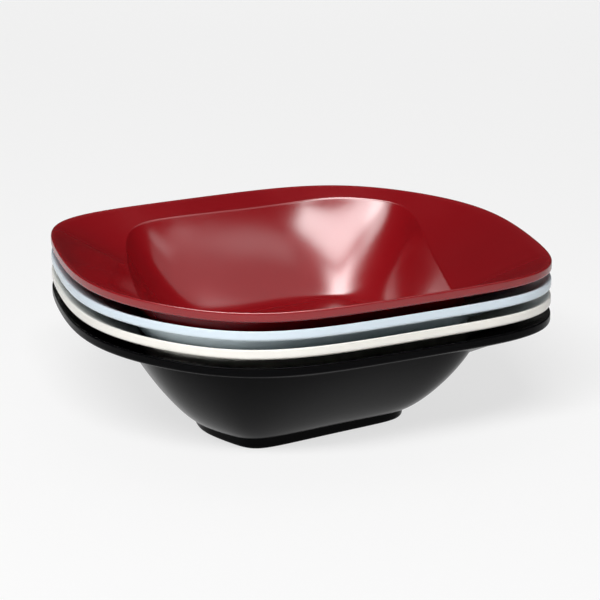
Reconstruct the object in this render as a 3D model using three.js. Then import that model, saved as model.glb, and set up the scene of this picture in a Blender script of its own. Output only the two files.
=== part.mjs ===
// A nest of four oval melamine bowls in four colours.
//
// Each bowl is one compression moulding: a flat floor on a low foot ring, a curved well, and a broad rim that
// slopes down into the well from a thicker lip along its outer edge. The outlines of the rim, the well and the
// foot are soft six-sided ovals, and the well lies a little off the middle of the rim. Millimetres, +Z up. The
// origin is the middle of the lowest bowl's foot, on the table.

import * as THREE from 'three';

// Outlines. Each has three pairs of parallel sides: the distance from the middle to the sides of a pair, and the
// way they face in degrees from +X. The softness rounds the corners between them: the less, the rounder.

// Rim, at its outer edge.
const rimSideDistance = 113.3;
const rimSideFacing = -13.9;
const rimEndDistance = 103.2;
const rimEndFacing = 92.4;
const rimCornerDistance = 119.5;
const rimCornerFacing = 33.7;
const rimSoftness = 6.9;

// Well, along the edge where the rim turns down into it. Its middle is moved from the middle of the rim.
const wellSideDistance = 74.9;
const wellSideFacing = -18.6;
const wellEndDistance = 88.4;
const wellEndFacing = 90.9;
const wellCornerDistance = 110.0;
const wellCornerFacing = 38.9;
const wellSoftness = 12.0;
const wellMoveX = -2.9;
const wellMoveY = 1.8;

// Foot, at the outside of the ring that the bowl stands on.
const footSideDistance = 50.5;
const footSideFacing = -23.5;
const footEndDistance = 48.6;
const footEndFacing = 96.5;
const footCornerDistance = 63.7;
const footCornerFacing = 17.6;
const footSoftness = 12.0;

// Section of one bowl.
const bowlHeight = 55.2; // to the rim's corner, before its edge is rounded
const rimSlope = 24.8; // degrees from level
const rimEdgeThickness = 4.4;
const rimTopRound = 1.4;
const rimLowerRound = 1.0;
const rimThickness = 2.6; // inside the lip along its edge
const lipWidth = 2.4;
const lipStep = 0.6;
const wellEdgeRound = 2.2;
const wallSlope = 58.0; // degrees from level at the top of the well
const wallFullness = 0.46; // 0 is a straight wall, 1 a square corner between wall and floor
const wallThickness = 3.5;
const floorThickness = 3.0;
const footWidth = 4.5;
const footDraft = 0.4;
const footRound = 1.6;

// Nesting: each bowl stands on the floor of the bowl below it, clear of its wall.
const seatGap = 0.3;
const seatMargin = 1.0;
const pitch = 8.36; // from bowl to bowl
const floorHeight = pitch - seatGap;
const footHeight = floorHeight - floorThickness;

// Facets.
const turnSteps = 60;
const wallSteps = 6;
const undersideSteps = 5;
const wellEdgeSteps = 2;
const roundSteps = 2;

const bowls = [
  { name: 'black_bowl', colour: '#101012', roughness: 0.2 },
  { name: 'ivory_bowl', colour: '#f2eee4', roughness: 0.2 },
  { name: 'pale_blue_bowl', colour: '#d6e3ec', roughness: 0.2 },
  { name: 'red_bowl', colour: '#8c0f16', roughness: 0.12 },
];

const degrees = THREE.MathUtils.degToRad;

// The two sides of a pair, moved with the outline's middle: the way a side faces, and its distance from the origin.
function pair(distance, facing, moveX = 0, moveY = 0) {
  const shift = moveX * Math.cos(degrees(facing)) + moveY * Math.sin(degrees(facing));
  return [
    [distance + shift, degrees(facing)],
    [distance - shift, degrees(facing) + Math.PI],
  ];
}

// The radius of an outline at an angle, from the sides that face that way: the sum over them of
// (cos(angle - facing) / distance) to the power of the softness is 1.
function outline(sides, softness, angle) {
  const sum = sides
    .map(([distance, facing]) => Math.max(Math.cos(angle - facing), 0) / distance)
    .reduce((total, share) => total + share ** softness, 0);
  return sum ** (-1 / softness);
}

const rimSides = [
  ...pair(rimSideDistance, rimSideFacing),
  ...pair(rimEndDistance, rimEndFacing),
  ...pair(rimCornerDistance, rimCornerFacing),
];
const wellSides = [
  ...pair(wellSideDistance, wellSideFacing, wellMoveX, wellMoveY),
  ...pair(wellEndDistance, wellEndFacing, wellMoveX, wellMoveY),
  ...pair(wellCornerDistance, wellCornerFacing, wellMoveX, wellMoveY),
];
const footSides = [
  ...pair(footSideDistance, footSideFacing),
  ...pair(footEndDistance, footEndFacing),
  ...pair(footCornerDistance, footCornerFacing),
];
const rimRadius = (angle) => outline(rimSides, rimSoftness, angle);
const wellRadius = (angle) => outline(wellSides, wellSoftness, angle);
const footRadius = (angle) => outline(footSides, footSoftness, angle);

// The height of the rim's top at a distance from the middle: an even slope inwards from the rim's outline.
function rimHeight(radius, angle) {
  return bowlHeight - (rimRadius(angle) - radius) * Math.tan(degrees(rimSlope));
}

// The wall leans at the stated slope, or as much more as it takes to reach from the floor to the well's edge.
function slopeAt(angle) {
  const edge = wellRadius(angle);
  const reach = Math.atan2(rimHeight(edge, angle) - floorHeight, edge - footRadius(angle) - seatMargin);
  return Math.max(degrees(wallSlope), reach);
}

const angles = Array.from({ length: turnSteps }, (_, step) => (2 * Math.PI * step) / turnSteps);

// One section of the bowl, from the middle of its floor round the rim to the middle of its underside,
// as curves in radius and height, each with its number of steps.
function sectionAt(angle) {
  const point = (radius, height) => new THREE.Vector2(radius, height);
  const rim = rimRadius(angle);
  const foot = footRadius(angle);
  const slope = slopeAt(angle);
  const well = point(wellRadius(angle), rimHeight(wellRadius(angle), angle));

  // Directions up the wall and out along the rim, and their normals on the underside.
  const up = point(Math.cos(slope), Math.sin(slope));
  const out = point(Math.cos(degrees(rimSlope)), Math.sin(degrees(rimSlope)));
  const wallDown = point(up.y, -up.x);
  const rimDown = point(out.y, -out.x);
  const turn = slope - degrees(rimSlope);

  // Upper side.
  const roundLength = wellEdgeRound * Math.tan(turn / 2);
  const floorEdge = point(foot + seatMargin, floorHeight);
  const wallTop = well.clone().addScaledVector(up, -roundLength);
  const rimStart = well.clone().addScaledVector(out, roundLength);
  const bend = point(wallTop.x - (wallTop.y - floorHeight) / Math.tan(slope), floorHeight);
  const rimEnd = point(rim - rimTopRound, rimHeight(rim - rimTopRound, angle));
  const rimCorner = point(rim, bowlHeight);
  const edgeTop = point(rim, bowlHeight - rimTopRound);

  // Underside: the lines of the wall and the rim moved out by their thicknesses, and a lip along the rim's edge.
  const edgeFoot = bowlHeight - rimEdgeThickness;
  const edgeBottom = point(rim, edgeFoot + rimLowerRound);
  const lowerCorner = point(rim, edgeFoot);
  const lipBottom = (width) => point(rim - width, edgeFoot - width * Math.tan(degrees(rimSlope)));
  const lowerStart = lipBottom(rimLowerRound);
  const lipEnd = lipBottom(lipWidth);
  const lipInner = rim - lipWidth - lipStep;
  const lipFoot = point(lipInner, rimHeight(lipInner, angle) - rimThickness / out.x);
  const lean = wallDown.dot(rimDown);
  const wellUnder = well
    .clone()
    .addScaledVector(wallDown, (wallThickness - lean * rimThickness) / (1 - lean * lean))
    .addScaledVector(rimDown, (rimThickness - lean * wallThickness) / (1 - lean * lean));
  const underLength = wallThickness * Math.tan(turn / 2);
  const rimUnder = wellUnder.clone().addScaledVector(out, underLength);
  const wallUnder = wellUnder.clone().addScaledVector(up, -underLength);
  const footTop = point(foot, footHeight);
  const bendUnder = point(wallUnder.x - (wallUnder.y - footHeight) / Math.tan(slope), footHeight);

  // Foot ring and the shallow recess inside it.
  const round = Math.min(footRound, footHeight / 2, footWidth / 2);
  const footSide = point(foot - footDraft, round);
  const footCorner = point(foot - footDraft, 0);
  const footFlat = point(foot - footDraft - round, 0);
  const footInner = point(foot - footWidth, 0);
  const recessEdge = point(foot - footWidth - footDraft, footHeight);

  const between = (from, to) => from.clone().lerp(to, wallFullness);
  return [
    [new THREE.LineCurve(point(0, floorHeight), floorEdge), 1],
    [new THREE.CubicBezierCurve(floorEdge, between(floorEdge, bend), between(wallTop, bend), wallTop), wallSteps],
    [new THREE.QuadraticBezierCurve(wallTop, well, rimStart), wellEdgeSteps],
    [new THREE.LineCurve(rimStart, rimEnd), 1],
    [new THREE.QuadraticBezierCurve(rimEnd, rimCorner, edgeTop), roundSteps],
    [new THREE.LineCurve(edgeTop, edgeBottom), 1],
    [new THREE.QuadraticBezierCurve(edgeBottom, lowerCorner, lowerStart), roundSteps],
    [new THREE.LineCurve(lowerStart, lipEnd), 1],
    [new THREE.LineCurve(lipEnd, lipFoot), 1],
    [new THREE.LineCurve(lipFoot, rimUnder), 1],
    [new THREE.QuadraticBezierCurve(rimUnder, wellUnder, wallUnder), roundSteps],
    [
      new THREE.CubicBezierCurve(wallUnder, between(wallUnder, bendUnder), between(footTop, bendUnder), footTop),
      undersideSteps,
    ],
    [new THREE.LineCurve(footTop, footSide), 1],
    [new THREE.QuadraticBezierCurve(footSide, footCorner, footFlat), roundSteps],
    [new THREE.LineCurve(footFlat, footInner), 1],
    [new THREE.LineCurve(footInner, recessEdge), 1],
    [new THREE.LineCurve(recessEdge, point(0, footHeight)), 1],
  ];
}

// The section is swept round the middle, with one shared point at the middle of the floor and one below it.
function bowlGeometry() {
  const sections = angles.map((angle) => {
    const points = sectionAt(angle).flatMap(([curve, steps]) => curve.getPoints(steps).slice(0, steps));
    return points.slice(1).map(({ x, y }) => [x * Math.cos(angle), x * Math.sin(angle), y]);
  });
  const rows = sections[0].length;
  const floorMiddle = rows * turnSteps;
  const recessMiddle = floorMiddle + 1;
  const positions = [...sections.flat(), [0, 0, floorHeight], [0, 0, footHeight]].flat();
  const index = [];
  for (let step = 0; step < turnSteps; step += 1) {
    const here = step * rows;
    const next = ((step + 1) % turnSteps) * rows;
    index.push(floorMiddle, here, next);
    for (let row = 0; row < rows - 1; row += 1) {
      index.push(here + row, here + row + 1, next + row + 1);
      index.push(here + row, next + row + 1, next + row);
    }
    index.push(recessMiddle, next + rows - 1, here + rows - 1);
  }
  const geometry = new THREE.BufferGeometry();
  geometry.setAttribute('position', new THREE.Float32BufferAttribute(positions, 3));
  geometry.setIndex(index);
  geometry.computeVertexNormals();
  return geometry;
}

const nest = new THREE.Group();
bowls.forEach(({ name, colour, roughness }, place) => {
  const material = new THREE.MeshStandardMaterial({ color: colour, roughness, metalness: 0 });
  const bowl = new THREE.Mesh(bowlGeometry(), material);
  bowl.name = name;
  bowl.position.z = place * pitch;
  nest.add(bowl);
});

export default nest;
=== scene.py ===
# %% [markdown]
# # A nest of four oval melamine bowls
#
# Four bowls of one shape stand in one another: red on top, then pale blue, ivory and black. Each is a single
# moulding with a broad rim that slopes down to a deep well, and a low foot ring underneath. This lesson loads the
# measured frame of the nest, works out one fine bowl surface with numpy, and dresses it in four melamine finishes.

# %% Load the frame
import math

import bpy
import numpy as np
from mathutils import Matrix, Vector


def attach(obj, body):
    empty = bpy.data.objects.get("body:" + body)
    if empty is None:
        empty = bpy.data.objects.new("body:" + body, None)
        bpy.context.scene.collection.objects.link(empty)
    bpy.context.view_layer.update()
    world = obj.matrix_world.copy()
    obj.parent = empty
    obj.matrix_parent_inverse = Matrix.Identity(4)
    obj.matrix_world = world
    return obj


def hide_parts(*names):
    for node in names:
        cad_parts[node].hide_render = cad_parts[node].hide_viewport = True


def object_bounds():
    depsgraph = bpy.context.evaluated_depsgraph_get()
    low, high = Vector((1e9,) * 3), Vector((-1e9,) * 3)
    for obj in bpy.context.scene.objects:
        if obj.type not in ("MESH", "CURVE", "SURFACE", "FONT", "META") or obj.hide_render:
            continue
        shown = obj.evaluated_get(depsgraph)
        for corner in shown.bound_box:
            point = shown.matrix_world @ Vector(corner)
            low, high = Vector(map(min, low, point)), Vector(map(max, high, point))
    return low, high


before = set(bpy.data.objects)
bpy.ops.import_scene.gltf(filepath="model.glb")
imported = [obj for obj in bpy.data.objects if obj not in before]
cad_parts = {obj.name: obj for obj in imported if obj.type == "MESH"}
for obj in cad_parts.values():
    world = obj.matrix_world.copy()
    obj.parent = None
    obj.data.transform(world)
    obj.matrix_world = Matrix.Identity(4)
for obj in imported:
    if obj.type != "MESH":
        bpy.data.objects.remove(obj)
cad_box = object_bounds()
print("box of the solids in mm:", [round(1000 * side, 1) for side in cad_box[1] - cad_box[0]])

# %% [markdown]
# ## The three outlines
#
# Seen from above, the rim, the well and the foot are soft six-sided ovals, and the well lies a little off the middle
# of the rim. A drawn curve with many points would do, but a formula is smoother and has only a few sizes. Each outline
# has three pairs of parallel sides. The distance from the middle to each pair, and the way the pair faces, give the
# shape, and one softness rounds all its corners.

# %% Outlines
MM = 0.001
RIM_PAIRS = [(113.3, -13.9), (103.2, 92.4), (119.5, 33.7)]
RIM_SOFTNESS = 6.9
WELL_PAIRS = [(74.9, -18.6), (88.4, 90.9), (110.0, 38.9)]
WELL_SOFTNESS = 12.0
WELL_MOVE = (-2.9, 1.8)
FOOT_PAIRS = [(50.5, -23.5), (48.6, 96.5), (63.7, 17.6)]
FOOT_SOFTNESS = 12.0


def soft_outline(angle, pairs, softness, move=(0, 0)):
    """Radius r at each angle a of a soft polygon whose middle is moved: the sum over the sides that face that way of
    (r cos(a - facing) / distance) ** softness equals 1. A move lengthens one side's distance and shortens the
    other's."""
    total = 0 * angle
    for distance, degrees in pairs:
        facing = math.radians(degrees)
        shift = move[0] * math.cos(facing) + move[1] * math.sin(facing)
        total += (np.maximum(np.cos(angle - facing), 0) / (distance + shift)) ** softness
        total += (np.maximum(-np.cos(angle - facing), 0) / (distance - shift)) ** softness
    return total ** (-1 / softness)


TURN_STEPS = 384
turn = np.linspace(0, 2 * np.pi, TURN_STEPS, endpoint=False)
rim = soft_outline(turn, RIM_PAIRS, RIM_SOFTNESS)
well = soft_outline(turn, WELL_PAIRS, WELL_SOFTNESS, WELL_MOVE)
foot = soft_outline(turn, FOOT_PAIRS, FOOT_SOFTNESS)
print(f"rim {rim.min():.0f} to {rim.max():.0f} mm from the middle, well {well.min():.0f} to {well.max():.0f} mm")

# %% [markdown]
# ## The section
#
# At each angle the bowl has a section: level floor, curved wall, rounded well edge, straight sloping rim, a thicker
# lip with a rounded edge, and back underneath to the foot ring. The sections differ from angle to angle because the
# outlines do. Lines and Bezier curves between a few corner points are enough, and numpy works them out for all
# angles at once.

# %% Sizes of the section, in millimetres
BOWL_HEIGHT = 55.2
RIM_SLOPE = math.radians(24.8)
RIM_EDGE_THICKNESS = 4.4
RIM_TOP_ROUND = 1.4
RIM_LOWER_ROUND = 1.0
RIM_THICKNESS = 2.6
LIP_WIDTH = 2.4
LIP_STEP = 0.6
WELL_EDGE_ROUND = 2.2
WALL_SLOPE = math.radians(58.0)
WALL_FULLNESS = 0.46
WALL_THICKNESS = 3.5
FLOOR_THICKNESS = 3.0
FOOT_WIDTH = 4.5
FOOT_DRAFT = 0.4
FOOT_ROUND = 1.6
SEAT_GAP = 0.3
SEAT_MARGIN = 1.0
PITCH = 8.36
FLOOR_HEIGHT = PITCH - SEAT_GAP
FOOT_HEIGHT = FLOOR_HEIGHT - FLOOR_THICKNESS


def rim_height(radius):
    """Height of the rim's top at a radius: it falls inwards from the outline at the rim's slope."""
    return BOWL_HEIGHT - (rim - radius) * math.tan(RIM_SLOPE)


slope = np.maximum(WALL_SLOPE, np.arctan2(rim_height(well) - FLOOR_HEIGHT, well - foot - SEAT_MARGIN))
print(f"rim {(rim - well).min():.0f} to {(rim - well).max():.0f} mm wide")
print(f"wall leans {math.degrees(slope.min()):.1f} to {math.degrees(slope.max()):.1f} degrees from level")

# %% Lines and curves between corner points


def point(radius, height):
    """One corner point of all sections: a radius and a height at each angle."""
    return np.stack([radius + 0 * turn, height + 0 * turn])


def stretch(steps, *corners):
    """A Bezier curve through all sections, for two, three or four corner points: the sum over the corners k of
    binomial(n, k) (1 - t) ** (n - k) t ** k times the corner, with t from 0 up to but not including 1."""
    t = np.linspace(0, 1, steps, endpoint=False)[:, None, None]
    n = len(corners) - 1
    return sum(math.comb(n, k) * (1 - t) ** (n - k) * t**k * corner for k, corner in enumerate(corners))


def towards(start, end, share):
    """The point at a share of the way from start to end."""
    return start + share * (end - start)


# %% Corner points of the upper side
up_wall = np.stack([np.cos(slope), np.sin(slope)])
out_rim = np.array([[math.cos(RIM_SLOPE)], [math.sin(RIM_SLOPE)]])
round_length = WELL_EDGE_ROUND * np.tan((slope - RIM_SLOPE) / 2)

well_edge = point(well, rim_height(well))
floor_middle = point(0, FLOOR_HEIGHT)
floor_edge = point(foot + SEAT_MARGIN, FLOOR_HEIGHT)
wall_top = well_edge - up_wall * round_length
rim_start = well_edge + out_rim * round_length
wall_bend = point(wall_top[0] - (wall_top[1] - FLOOR_HEIGHT) / np.tan(slope), FLOOR_HEIGHT)
rim_end = point(rim - RIM_TOP_ROUND, rim_height(rim - RIM_TOP_ROUND))
rim_corner = point(rim, BOWL_HEIGHT)
edge_top = point(rim, BOWL_HEIGHT - RIM_TOP_ROUND)

# %% Corner points of the underside
edge_foot = BOWL_HEIGHT - RIM_EDGE_THICKNESS
edge_bottom = point(rim, edge_foot + RIM_LOWER_ROUND)
lower_corner = point(rim, edge_foot)
lower_start = point(rim - RIM_LOWER_ROUND, edge_foot - RIM_LOWER_ROUND * math.tan(RIM_SLOPE))
lip_end = point(rim - LIP_WIDTH, edge_foot - LIP_WIDTH * math.tan(RIM_SLOPE))
lip_inner = rim - LIP_WIDTH - LIP_STEP
lip_foot = point(lip_inner, rim_height(lip_inner) - RIM_THICKNESS / math.cos(RIM_SLOPE))
wall_down = np.stack([up_wall[1], -up_wall[0]])
rim_down = np.array([[math.sin(RIM_SLOPE)], [-math.cos(RIM_SLOPE)]])
lean = np.sum(wall_down * rim_down, axis=0)
well_under = (
    well_edge
    + wall_down * (WALL_THICKNESS - lean * RIM_THICKNESS) / (1 - lean**2)
    + rim_down * (RIM_THICKNESS - lean * WALL_THICKNESS) / (1 - lean**2)
)
under_length = WALL_THICKNESS * np.tan((slope - RIM_SLOPE) / 2)
rim_under = well_under + out_rim * under_length
wall_under = well_under - up_wall * under_length
foot_top = point(foot, FOOT_HEIGHT)
bend_under = point(wall_under[0] - (wall_under[1] - FOOT_HEIGHT) / np.tan(slope), FOOT_HEIGHT)
foot_side = point(foot - FOOT_DRAFT, FOOT_ROUND)
foot_corner = point(foot - FOOT_DRAFT, 0)
foot_flat = point(foot - FOOT_DRAFT - FOOT_ROUND, 0)
foot_inner = point(foot - FOOT_WIDTH, 0)
recess_edge = point(foot - FOOT_WIDTH - FOOT_DRAFT, FOOT_HEIGHT)
recess_middle = point(0, FOOT_HEIGHT)

# %% The whole section, with the number of rows in each stretch
stretches = {
    "floor": stretch(10, floor_middle, floor_edge),
    "wall": stretch(
        36,
        floor_edge,
        towards(floor_edge, wall_bend, WALL_FULLNESS),
        towards(wall_top, wall_bend, WALL_FULLNESS),
        wall_top,
    ),
    "well_edge": stretch(12, wall_top, well_edge, rim_start),
    "rim": stretch(12, rim_start, rim_end),
    "rim_edge": np.concatenate(
        [
            stretch(8, rim_end, rim_corner, edge_top),
            stretch(3, edge_top, edge_bottom),
            stretch(6, edge_bottom, lower_corner, lower_start),
            stretch(2, lower_start, lip_end),
        ]
    ),
    "under_lip": stretch(4, lip_end, lip_foot),
    "under_rim": stretch(10, lip_foot, rim_under),
    "under_edge": stretch(10, rim_under, well_under, wall_under),
    "outer_wall": stretch(
        28,
        wall_under,
        towards(wall_under, bend_under, WALL_FULLNESS),
        towards(foot_top, bend_under, WALL_FULLNESS),
        foot_top,
    ),
    "foot": np.concatenate(
        [
            stretch(4, foot_top, foot_side),
            stretch(8, foot_side, foot_corner, foot_flat),
            stretch(2, foot_flat, foot_inner),
            stretch(3, foot_inner, recess_edge),
        ]
    ),
    "recess": stretch(6, recess_edge, recess_middle),
}
section = np.concatenate(list(stretches.values()))[1:]
row_names = np.repeat(list(stretches), [len(rows) for rows in stretches.values()])[1:]
print(f"{len(section)} rows of {TURN_STEPS} points")

# %% [markdown]
# ## One mesh for each bowl
#
# The rows become rings round the middle, joined by four-sided faces, with a fan of triangles that closes the floor and
# another that closes the recess under the foot. The same arrays serve all four bowls, each lifted by its place in the
# nest. Two numbers at each point say how much it belongs to the rim's edge and to the foot's standing face, for the
# finishes to read.

# %% Rings to mesh
rows = len(section)
ring_of = np.arange(rows - 1)[:, None] * TURN_STEPS
here = np.arange(TURN_STEPS)[None, :]
ahead = (here + 1) % TURN_STEPS
quads = np.stack(
    [ring_of + here, ring_of + TURN_STEPS + here, ring_of + TURN_STEPS + ahead, ring_of + ahead], axis=-1
).reshape(-1, 4)
floor_pole = rows * TURN_STEPS
recess_pole = floor_pole + 1
last_ring = (rows - 1) * TURN_STEPS
floor_fan = np.stack([0 * here[0] + floor_pole, here[0], ahead[0]], axis=-1)
recess_fan = np.stack([0 * here[0] + recess_pole, last_ring + ahead[0], last_ring + here[0]], axis=-1)
faces = quads.tolist() + floor_fan.tolist() + recess_fan.tolist()
rim_edge_share = np.append(np.repeat(row_names == "rim_edge", TURN_STEPS), [False, False]).astype(np.float32)
height_of_points = np.append(section[:, 1].ravel(), [FLOOR_HEIGHT, FOOT_HEIGHT])
foot_share = np.clip(1 - height_of_points / FOOT_ROUND, 0, 1).astype(np.float32)

# %% The mesh of one bowl
SHARP_ANGLE = math.radians(40)


def bowl_mesh(name, lift):
    """The bowl's surface: x = r cos(a), y = r sin(a), z = height + lift, over all rows and angles."""
    radius, height = section[:, 0], section[:, 1]
    rings = np.stack([radius * np.cos(turn), radius * np.sin(turn), height + lift], axis=-1).reshape(-1, 3)
    poles = [[0, 0, FLOOR_HEIGHT + lift], [0, 0, FOOT_HEIGHT + lift]]
    mesh = bpy.data.meshes.new(name)
    mesh.from_pydata((np.concatenate([rings, poles]) * MM).tolist(), [], faces)
    mesh.polygons.foreach_set("use_smooth", np.ones(len(faces), bool))
    mesh.set_sharp_from_angle(angle=SHARP_ANGLE)
    mesh.attributes.new("rim_edge", "FLOAT", "POINT").data.foreach_set("value", rim_edge_share)
    mesh.attributes.new("foot_ring", "FLOAT", "POINT").data.foreach_set("value", foot_share)
    return mesh


print(f"{len(faces)} faces a bowl")

# %% [markdown]
# ## Melamine
#
# Melamine tableware is moulded hot in polished steel tools, so it comes out glossy and one colour all through. What
# keeps it from looking like paint is small: the colour clouds a little where the powder flowed, the gloss varies
# softly, and the surface has a faint orange-peel swell. The rim's edge, where the tool's flash was ground off and
# buffed, is a little duller, and the foot's standing face is scuffed.

# %% Helpers for colours and nodes


def linear(hex_colour):
    """An sRGB hex colour as linear red, green, blue and alpha."""
    channels = [int(hex_colour[i : i + 2], 16) / 255 for i in (1, 3, 5)]
    return [c / 12.92 if c <= 0.04045 else ((c + 0.055) / 1.055) ** 2.4 for c in channels] + [1.0]


def node(tree, kind, settings=None, **inputs):
    """Adds a node of a kind to the tree, with its settings, and sets or links its inputs by name."""
    made = tree.nodes.new(kind)
    for key, value in (settings or {}).items():
        setattr(made, key, value)
    for key, value in inputs.items():
        socket = made.inputs[int(key[1:])] if key[0] == "_" else made.inputs[key.replace("_", " ")]
        if isinstance(value, bpy.types.NodeSocket):
            tree.links.new(value, socket)
        else:
            socket.default_value = value
    return made


# %% Moulded melamine
RESIN_IOR = 1.6
CLOUD_SIZE = 45.0
GLOSS_SIZE = 18.0
GLOSSIEST = 0.75
DULLEST = 1.3
EDGE_ROUGHNESS = 0.26
SCUFF_SIZE = 1.2
SCUFF_ROUGHNESS = 0.7
PEEL_SIZE = 5.0
PEEL_DEPTH = 0.4
PEEL_STRENGTH = 0.03


def per_metre(size):
    """The scale of a noise whose features are a size in millimetres across, on coordinates in metres."""
    return 1 / (size * MM)


def melamine(name, colour, cloud, gloss, shine=0.5):
    """Moulded melamine: one colour with faint clouds, polished gloss with soft variation, a buffed rim edge that is
    duller, and a scuffed foot. The gloss is a roughness, from the glossiest to the dullest share of it. The IOR is
    the resin's own at a shine of 0.5, and a lower shine mirrors less."""
    material = bpy.data.materials.new(name)
    material.use_nodes = True
    tree = material.node_tree
    tree.nodes.clear()
    place = node(tree, "ShaderNodeTexCoord").outputs["Object"]
    clouds = node(tree, "ShaderNodeTexNoise", Vector=place, Scale=per_metre(CLOUD_SIZE), Detail=3.0)
    colours = node(
        tree, "ShaderNodeMix", {"data_type": "RGBA"}, _0=clouds.outputs["Fac"], _6=linear(colour), _7=linear(cloud)
    )
    gloss_noise = node(tree, "ShaderNodeTexNoise", Vector=place, Scale=per_metre(GLOSS_SIZE), Detail=4.0)
    body_rough = node(
        tree,
        "ShaderNodeMapRange",
        Value=gloss_noise.outputs["Fac"],
        To_Min=gloss * GLOSSIEST,
        To_Max=gloss * DULLEST,
    )
    edge = node(tree, "ShaderNodeAttribute", {"attribute_name": "rim_edge"})
    edge_rough = node(
        tree,
        "ShaderNodeMix",
        {"data_type": "FLOAT"},
        _0=edge.outputs["Fac"],
        _2=body_rough.outputs[0],
        _3=EDGE_ROUGHNESS,
    )
    standing = node(tree, "ShaderNodeAttribute", {"attribute_name": "foot_ring"})
    scuffs = node(tree, "ShaderNodeTexNoise", Vector=place, Scale=per_metre(SCUFF_SIZE), Detail=6.0)
    worn = node(
        tree, "ShaderNodeMath", {"operation": "MULTIPLY"}, _0=standing.outputs["Fac"], _1=scuffs.outputs["Fac"]
    )
    rough = node(
        tree,
        "ShaderNodeMix",
        {"data_type": "FLOAT"},
        _0=worn.outputs[0],
        _2=edge_rough.outputs[0],
        _3=SCUFF_ROUGHNESS,
    )
    peel = node(tree, "ShaderNodeTexNoise", Vector=place, Scale=per_metre(PEEL_SIZE), Detail=1.0)
    swell = node(
        tree, "ShaderNodeBump", Strength=PEEL_STRENGTH, Distance=PEEL_DEPTH * MM, Height=peel.outputs["Fac"]
    )
    shader = node(
        tree,
        "ShaderNodeBsdfPrincipled",
        Base_Color=colours.outputs[2],
        Roughness=rough.outputs[0],
        IOR=RESIN_IOR,
        Specular_IOR_Level=shine,
        Normal=swell.outputs[0],
    )
    node(tree, "ShaderNodeOutputMaterial", Surface=shader.outputs[0])
    return material


FINISHES = {
    "black": melamine("black_moulded_melamine", "#040405", "#060607", gloss=0.2, shine=0.03),
    "ivory": melamine("ivory_moulded_melamine", "#f2efe8", "#edeae2", gloss=0.16),
    "pale_blue": melamine("pale_blue_moulded_melamine", "#d9e6ef", "#d2e0ea", gloss=0.16),
    "red": melamine("red_moulded_melamine", "#901018", "#880d15", gloss=0.15),
}
print("finishes:", [finish.name for finish in FINISHES.values()])

# %% [markdown]
# ## The four bowls in the nest
#
# Each bowl stands for the solid of its colour, rides on that solid's body, and so lifts off with it.

# %% Bowls
for place, (colour, finish) in enumerate(FINISHES.items()):
    name = f"{colour}_melamine_bowl"
    mesh = bowl_mesh(name, place * PITCH)
    mesh.materials.append(finish)
    bowl = bpy.data.objects.new(name, mesh)
    bpy.context.scene.collection.objects.link(bowl)
    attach(bowl, f"{colour}_bowl")
    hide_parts(f"{colour}_bowl")
    print(name, "stands", round(place * PITCH, 2), "mm above the table")

# %% [markdown]
# ## Floor, light and camera
#
# The floor is a plain pale sheet. More lamps would make it whiter but would also bleach the bowls, so a share of its
# white is its own, for the rays that see it, and the rest takes light and the nest's shadow. One lamp high in front
# lights the nest, and weak ones above and behind fill the shadows. Five more hang overhead only to be mirrored: a
# dim softbox, and four glows with soft edges that draw the streaks in the red well. The camera looks a little down on
# the nest with a long lens, as in a catalogue.

# %% Floor
FLOOR_SIZE = 12.0
WHITE_SHARE = 0.7
half = FLOOR_SIZE / 2
floor_mesh = bpy.data.meshes.new("floor")
floor_mesh.from_pydata([(-half, -half, 0), (half, -half, 0), (half, half, 0), (-half, half, 0)], [], [(0, 1, 2, 3)])
floor = bpy.data.objects.new("floor", floor_mesh)
bpy.context.scene.collection.objects.link(floor)
paper = bpy.data.materials.new("matt_white_paper")
paper.use_nodes = True
tree = paper.node_tree
tree.nodes.clear()
path = node(tree, "ShaderNodeLightPath")
seen = path.outputs["Is Camera Ray"]
for ray in ("Is Glossy Ray", "Is Transmission Ray"):
    seen = node(tree, "ShaderNodeMath", {"operation": "ADD"}, _0=seen, _1=path.outputs[ray]).outputs[0]
share = node(tree, "ShaderNodeMath", {"operation": "MULTIPLY"}, _0=seen, _1=WHITE_SHARE)
sheet = node(tree, "ShaderNodeBsdfDiffuse", Color=linear("#f8f8f8"))
white = node(tree, "ShaderNodeEmission", Strength=1.0)
mixed = node(tree, "ShaderNodeMixShader", _0=share.outputs[0], _1=sheet.outputs[0], _2=white.outputs[0])
node(tree, "ShaderNodeOutputMaterial", Surface=mixed.outputs[0])
floor_mesh.materials.append(paper)

# %% Camera
AZIMUTH = math.radians(-26.5)
ELEVATION = math.radians(16.5)
DISTANCE = 1187.5 * MM
RIGHT_SHIFT = 1.62 * MM
DOWN_SHIFT = 26.9 * MM
FOCAL_LENGTH = 150
SENSOR_WIDTH = 36
back = Vector(
    (
        math.sin(AZIMUTH) * math.cos(ELEVATION),
        -math.cos(AZIMUTH) * math.cos(ELEVATION),
        math.sin(ELEVATION),
    )
)
right = Vector((math.cos(AZIMUTH), math.sin(AZIMUTH), 0))
above = back.cross(right)
rim_top = Vector((0, 0, cad_box[1].z))
lens = bpy.data.cameras.new("camera")
lens.lens = FOCAL_LENGTH
lens.sensor_width = SENSOR_WIDTH
camera = bpy.data.objects.new("camera", lens)
camera.location = rim_top + right * RIGHT_SHIFT - above * DOWN_SHIFT + back * DISTANCE
camera.rotation_mode = "QUATERNION"
camera.rotation_quaternion = (-back).to_track_quat("-Z", "Y")
bpy.context.scene.collection.objects.link(camera)
bpy.context.scene.camera = camera

# %% A lamp as the camera sees its place


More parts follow.
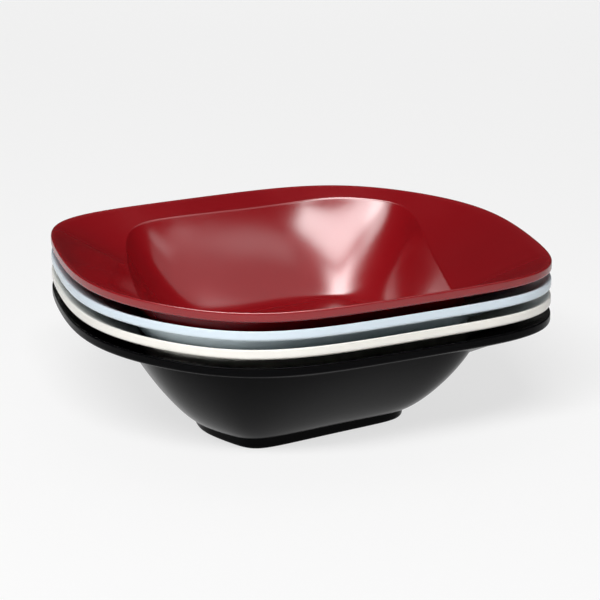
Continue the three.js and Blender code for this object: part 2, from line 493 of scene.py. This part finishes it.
def softbox(name, sideways, forward, height, width, depth, radiance):
    """A rectangular soft lamp that faces straight down. Its place is given as the camera sees it: sideways to the
    right, forward away from the camera, and height above the floor, in metres. Power = pi x area x radiance."""
    away = Vector((-back.x, -back.y, 0)).normalized()
    lamp = bpy.data.lights.new(name, "AREA")
    lamp.shape = "RECTANGLE"
    lamp.size, lamp.size_y = width, depth
    lamp.energy = math.pi * width * depth * radiance
    holder = bpy.data.objects.new(name, lamp)
    holder.location = right * sideways + away * forward + Vector((0, 0, height))
    holder.rotation_euler = (0, 0, AZIMUTH)
    bpy.context.scene.collection.objects.link(holder)
    return holder


# %% A lamp behind cloth


def soft_edges(holder, core_across, core_along):
    """Shades the lamp's face from full in a core to nothing at its edges, as a lamp behind cloth does. Each core is a
    share of the way from the middle to an edge. The lamp's Parametric coordinates run from 0 to 1 across it."""
    lamp = holder.data
    lamp.use_nodes = True
    tree = lamp.node_tree
    tree.nodes.clear()
    across = node(tree, "ShaderNodeNewGeometry").outputs["Parametric"]
    from_middle = node(
        tree, "ShaderNodeVectorMath", {"operation": "MULTIPLY_ADD"}, _0=across, _1=(2, 2, 0), _2=(-1, -1, 0)
    )
    reach = node(tree, "ShaderNodeVectorMath", {"operation": "ABSOLUTE"}, _0=from_middle.outputs[0])
    parts = node(tree, "ShaderNodeSeparateXYZ", Vector=reach.outputs[0])
    fades = [
        node(
            tree,
            "ShaderNodeMapRange",
            {"interpolation_type": "SMOOTHSTEP"},
            Value=parts.outputs[axis],
            From_Min=core,
            From_Max=1.0,
            To_Min=1.0,
            To_Max=0.0,
        )
        for axis, core in [("X", core_across), ("Y", core_along)]
    ]
    fade = node(tree, "ShaderNodeMath", {"operation": "MULTIPLY"}, _0=fades[0].outputs[0], _1=fades[1].outputs[0])
    glow = node(tree, "ShaderNodeEmission", Strength=fade.outputs[0])
    node(tree, "ShaderNodeOutputLight", Surface=glow.outputs[0])


# %% Lamps that are only mirrored
overhead = softbox("overhead_softbox", sideways=0.18, forward=0.07, height=0.95, width=1.34, depth=0.62, radiance=0.75)
front_glow = softbox("front_glow", sideways=-0.12, forward=-0.42, height=0.94, width=1.64, depth=0.34, radiance=13)
top_glow = softbox("top_glow", sideways=-0.12, forward=0.02, height=0.94, width=1.06, depth=0.72, radiance=14)
left_glow = softbox("left_glow", sideways=-0.72, forward=-0.25, height=0.93, width=0.56, depth=0.4, radiance=8)
right_glow = softbox("right_glow", sideways=0.74, forward=-0.13, height=0.94, width=0.4, depth=0.2, radiance=1.5)
soft_edges(front_glow, core_across=0.8, core_along=0.5)
soft_edges(top_glow, core_across=0.2, core_along=0.5)
soft_edges(left_glow, core_across=0.3, core_along=0.3)
soft_edges(right_glow, core_across=0.5, core_along=0.3)
for mirrored in (overhead, front_glow, top_glow, left_glow, right_glow):
    mirrored.visible_diffuse = False

# %% Lamps that only light
FRONT_TILT = math.radians(45)
BACK_TILT = math.radians(-70)
front_fill = softbox("front_fill", sideways=-0.4, forward=-1.6, height=1.65, width=1.6, depth=0.35, radiance=32)
front_fill.rotation_euler = (FRONT_TILT, 0, AZIMUTH)
rear_fill = softbox("rear_fill", sideways=0, forward=0.8, height=1.6, width=3.2, depth=1.6, radiance=0.2)
back_fill = softbox("back_fill", sideways=0.2, forward=2, height=0.75, width=2.4, depth=0.7, radiance=2)
back_fill.rotation_euler = (BACK_TILT, 0, AZIMUTH)
for fill in (front_fill, rear_fill, back_fill):
    fill.visible_glossy = False
print("lamps:", sorted(lamp.name for lamp in bpy.data.lights))

# %% A dim grey room, and colours shown as they are
world = bpy.data.worlds.new("studio")
world.use_nodes = True
world.node_tree.nodes["Background"].inputs["Color"].default_value = linear("#202020")
bpy.context.scene.world = world
bpy.context.scene.view_settings.view_transform = "Standard"
